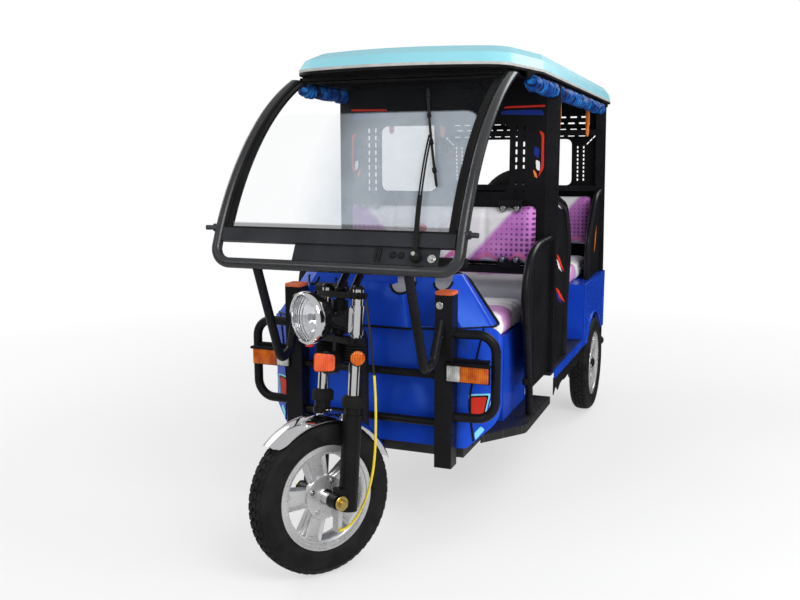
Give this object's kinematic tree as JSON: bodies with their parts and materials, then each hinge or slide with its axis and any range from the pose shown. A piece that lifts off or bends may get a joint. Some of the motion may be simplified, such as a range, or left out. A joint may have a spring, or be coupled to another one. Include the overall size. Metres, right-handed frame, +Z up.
{
  "type": "electric rickshaw",
  "caption": "Open-sided three-wheeled electric rickshaw with a steered front fork, hooped windscreen, facing passenger benches and a moulded roof.",
  "frame": {"origin": "on the ground under the middle of the bounding box", "axes": "+X forward, +Y to the vehicle's left, +Z up"},
  "size_m": [2.884, 0.9872, 1.706],
  "materials": {
    "blue_paint": "gloss",
    "roof_cyan": "gloss",
    "trim_silver": "satin",
    "frame_black": "semi-gloss",
    "panel_black": "satin",
    "lining_black": "matt",
    "floor_black": "ribbed",
    "seat_vinyl": "printed vinyl",
    "screen_clear": "clear",
    "rail_grey": "satin",
    "wiper_black": "satin",
    "curtain_blue": "woven",
    "strap_orange": "webbing",
    "lamp_amber": "clear and amber",
    "chrome": "polished",
    "fork_black": "gloss",
    "lens": "clear",
    "alloy": "satin",
    "tyre": "matt",
    "steel": "plain",
    "axle_black": "matt",
    "battery_grey": "matt",
    "cable_yellow": "satin",
    "grip_black": "matt"
  },
  "bodies": {
    "chassis": {"chassis_frame": "frame_black", "steering_neck": "frame_black", "floors": "floor_black", "sills": "blue_paint", "front_panel": "blue_paint", "front_cowl": "blue_paint", "front_guard": "frame_black", "lamps": "lamp_amber", "windscreen_hoop": "frame_black", "windscreen": "screen_clear", "screen_rail": "rail_grey", "wiper": "wiper_black", "seat_boxes": "blue_paint", "seat_cushions": "seat_vinyl", "seat_backs": "seat_vinyl", "body_frame": "frame_black", "body_panels": "panel_black", "battery": "battery_grey", "rear_quarters": "blue_paint", "side_guards": "frame_black", "roof": "roof_cyan", "roof_trim": "trim_silver", "roof_lining": "lining_black", "curtain_rolls": "curtain_blue", "hand_straps": "strap_orange", "rear_axle": "axle_black", "leaf_springs": "steel", "rear_bumper": "frame_black", "spare_tyre": "tyre", "spare_rim": "alloy"},
    "steering": {"fork_tubes": "chrome", "fork_sliders": "fork_black", "fork_clamps": "fork_black", "handlebar": "chrome", "grips": "grip_black", "headlamp": "fork_black", "lamp_lens": "lens", "front_mudguard": "chrome", "front_brake": "alloy", "brake_cable": "cable_yellow"},
    "front_wheel": {"front_tyre": "tyre", "front_rim": "alloy"},
    "rear_wheel_left": {"rear_tyre_left": "tyre", "rear_rim_left": "alloy"},
    "rear_wheel_right": {"rear_tyre_right": "tyre", "rear_rim_right": "alloy"}
  },
  "joints": [
    {"name": "steering_turn", "type": "hinge", "parent": "chassis", "child": "steering", "pos_m": [1.191, 0, 0.24012], "axis": [-0.1392, 0, 0.9903], "range_deg": [-9, 71]},
    {"name": "front_wheel_spin", "type": "hinge", "parent": "steering", "child": "front_wheel", "pos_m": [1.22241, -0.01906, 0.24454], "axis": [0.51, 0.8572, 0.0717], "continuous": true},
    {"name": "rear_wheel_left_spin", "type": "hinge", "parent": "chassis", "child": "rear_wheel_left", "pos_m": [-0.977, 0.445, 0.245], "axis": [0, 1, 0], "continuous": true},
    {"name": "rear_wheel_right_spin", "type": "hinge", "parent": "chassis", "child": "rear_wheel_right", "pos_m": [-0.977, -0.445, 0.245], "axis": [0, 1, 0], "continuous": true}
  ]
}
